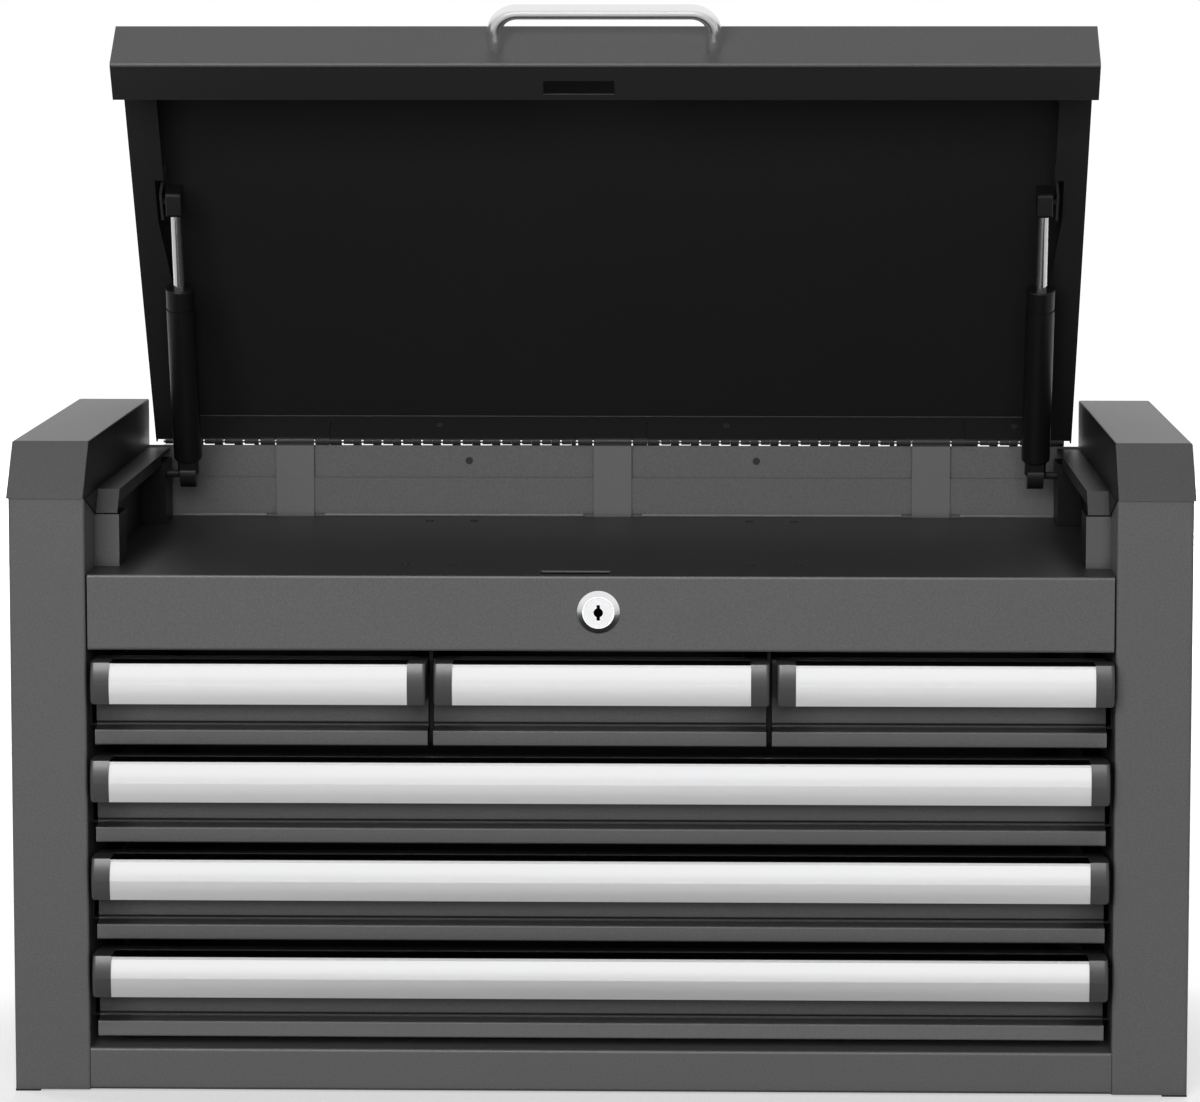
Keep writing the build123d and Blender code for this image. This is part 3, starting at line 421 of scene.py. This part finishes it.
# %% Give every piece its finish
finishes = {
    "powder_coat": coat,
    "dark_steel": black_coat,
    "plain_steel": zinc,
    "rivet_steel": black_coat,
    "handle_steel": satin_steel,
    "lock_chrome": chrome,
    "tube_black": enamel,
    "rod_chrome": hard_chrome,
    "fitting_black": nylon,
    "pull_aluminium": anodised,
    "pull_end_plastic": abs_plastic,
    "foot_rubber": rubber,
    "runner_black": dark_coat_and_shade,
}
slot_of = {row["node"]: row["material_slot"] for row in frame["record"]["subparts"]}


def dress(name, material):
    mesh = nodes[name].data
    mesh.materials.clear()
    mesh.materials.append(material)


for name in nodes:
    dress(name, finishes[slot_of[name]])
dress("lid_panel", lid_coat)
dress("top_tray", tray_coat)
dress("hinge_straps", strap_coat)
# Painted shade: the studs are black, as they sit in deep shade.
dress("strut_studs", dark_coat_and_shade)
dress("lock_plug", plug_chrome)
# Painted shade: the dividers are black, as the gaps between the drawers are in shade.
dress("drawer_dividers", dark_coat_and_shade)
for side in ("left", "right"):
    dress("side_cap_" + side, cap_coat)
    dress("lid_rest_rail_" + side, rail_coat)
    dress("tray_side_trim_" + side, trim_coat)
for name in nodes:
    if name.startswith("drawer_") and name.endswith("_box"):
        dress(name, drawer_coat)
print("finishes given:", len(set(slot_of.values())))

# %% [markdown]
# ## Camera
# The picture was taken with a long lens from about 2.8 m in front of the posts, as high as the
# top of the open lid, looking slightly down. The angles are in radians.

# %% Camera
CAMERA_RIGHT, CAMERA_AHEAD, CAMERA_HEIGHT = 0.0716, 2.7552, 0.6177
LOOKS_DOWN, ROLL, LOOKS_LEFT = 0.11238, 0.00025, 0.02584
post_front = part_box("side_panel_left")[0].y
camera_data = bpy.data.cameras.new("camera")
camera_data.sensor_width = 36.0
camera_data.lens = 150.06
camera = bpy.data.objects.new("camera", camera_data)
camera.location = (CAMERA_RIGHT, post_front - CAMERA_AHEAD, CAMERA_HEIGHT)
camera.rotation_euler = (math.pi / 2 - LOOKS_DOWN, ROLL, LOOKS_LEFT)
bpy.context.scene.collection.objects.link(camera)
bpy.context.scene.camera = camera
print("camera to post fronts:", round(post_front - camera.location.y, 3), "m")

# %% [markdown]
# ## Floor, sky and lamps
# A product photo has a white surround. The camera and shiny metal see a pale tent all round,
# while most of the light that falls on the paint comes from one large soft box in front, not much
# higher than the lid. That is why faces that look up are darker than faces that look forward.
# The floor is white where the camera looks at it, and it still catches the shadow of the chest.

# %% Floor
FLOOR_SIZE = 60.0
NEAR, FAR, FAR_IN_GLOSS = 1.5, 4.0, 6.0
WHITE = (1, 1, 1, 1)


def seen_directly(tree):
    """1 for what the camera, shiny metal or glass sees, 0 for light that paint picks up."""
    path = add_node(tree, "ShaderNodeLightPath").outputs
    opaque = math_node(tree, "MAXIMUM", path["Is Camera Ray"], path["Is Glossy Ray"])
    return math_node(tree, "MAXIMUM", opaque, path["Is Transmission Ray"])


def plain_surface(tree, kind, colour, strength=None):
    inputs = {"Color": colour} if strength is None else {"Color": colour, "Strength": strength}
    return add_node(tree, kind, inputs).outputs[0]


def by_ray(tree, indirect, direct, output):
    """Joins what paint picks up and what is seen directly to the output."""
    inputs = {0: seen_directly(tree), 1: indirect, 2: direct}
    mixed = add_node(tree, "ShaderNodeMixShader", inputs).outputs[0]
    add_node(tree, output, {"Surface": mixed})


floor_mesh = bpy.data.meshes.new("floor")
half = FLOOR_SIZE / 2
floor_mesh.from_pydata(
    [(-half, -half, 0), (half, -half, 0), (half, half, 0), (-half, half, 0)], [], [(0, 1, 2, 3)]
)
floor = bpy.data.objects.new("floor", floor_mesh)
bpy.context.scene.collection.objects.link(floor)

paper = bpy.data.materials.new("white_paper")
paper.use_nodes = True
tree = paper.node_tree
tree.nodes.clear()
view = add_node(tree, "ShaderNodeLightPath").outputs["Is Camera Ray"]
spot = add_node(tree, "ShaderNodeTexCoord").outputs["Object"]
distance = add_node(tree, "ShaderNodeVectorMath", {0: spot}, operation="LENGTH").outputs["Value"]
paleness = spread(tree, step(tree, distance, NEAR, FAR), 0.4, 1.0)
in_gloss = spread(tree, step(tree, distance, NEAR, FAR_IN_GLOSS), 0.03, 0.6)
level = spread(tree, view, in_gloss, paleness)
glow = plain_surface(tree, "ShaderNodeEmission", WHITE, level)
matte = plain_surface(tree, "ShaderNodeBsdfDiffuse", linear("#d8d8d8"))
white = add_node(tree, "ShaderNodeAddShader", {0: glow, 1: matte}).outputs[0]
table = plain_surface(tree, "ShaderNodeBsdfDiffuse", linear("#404040"))
by_ray(tree, table, white, "ShaderNodeOutputMaterial")
floor_mesh.materials.append(paper)

# %% Sky
ALL_WHITE = 0.45
world = bpy.data.worlds.new("studio")
bpy.context.scene.world = world
world.use_nodes = True
tree = world.node_tree
tree.nodes.clear()
soft = plain_surface(tree, "ShaderNodeBackground", WHITE, 0.1)
direction = add_node(tree, "ShaderNodeTexCoord").outputs["Generated"]
height = add_node(tree, "ShaderNodeSeparateXYZ", {"Vector": direction}).outputs["Z"]
tent = spread(tree, step(tree, height, 0.0, ALL_WHITE), 0.78, 1.0)
camera_ray = add_node(tree, "ShaderNodeLightPath").outputs["Is Camera Ray"]
whiteness = math_node(tree, "MAXIMUM", tent, camera_ray)
plain = plain_surface(tree, "ShaderNodeBackground", WHITE, whiteness)
by_ray(tree, soft, plain, "ShaderNodeOutputWorld")


# %% Lamps
def soft_box(name, place, aim, size, level):
    """A soft box that lights a white sheet at its aim to the given part of full white."""
    data = bpy.data.lights.new(name, "AREA")
    data.shape = "RECTANGLE"
    data.size, data.size_y = size
    reach = Vector(aim) - Vector(place)
    data.energy = level * math.pi**2 * reach.length_squared
    lamp = bpy.data.objects.new(name, data)
    lamp.location = place
    lamp.rotation_euler = reach.to_track_quat("-Z", "Y").to_euler()
    lamp.visible_glossy = False
    bpy.context.scene.collection.objects.link(lamp)
    print(name, round(data.energy), "W")
    return lamp


LARGE, SMALL = (2.2, 1.2), (1.6, 1.0)
middle = (0, 0, 0.3)
soft_box("front_box", (-0.4, -3.3, 1.15), middle, LARGE, 0.9)
soft_box("top_box", (0, 1.6, 2.6), middle, LARGE, 0.4)
soft_box("back_box", (0.4, 3.3, 0.9), middle, LARGE, 0.7)
soft_box("left_box", (-3.0, 1.7, 0.8), middle, SMALL, 0.5)
soft_box("right_box", (3.0, 1.7, 0.8), middle, SMALL, 0.5)

# %% [markdown]
# ## A lamp for gloss only
# Black plastic and bent edges are seen by the highlights on them. One more lamp, high in front,
# gives only gloss, so it doesn't change the level of the light. The bright metals have enough
# gloss already and are left out of it.

# %% Lamp for gloss
shine = soft_box("shine_box", (-0.5, -1.8, 2.4), middle, (1.6, 1.4), 0.9)
shine.visible_glossy = True
shine.visible_diffuse = False
glossy_pieces = bpy.data.collections.new("glossy_pieces")
for name in nodes:
    if finishes[slot_of[name]] not in (anodised, satin_steel, chrome):
        glossy_pieces.objects.link(nodes[name])
shine.light_linking.receiver_collection = glossy_pieces

bpy.context.scene.view_settings.view_transform = "Standard"
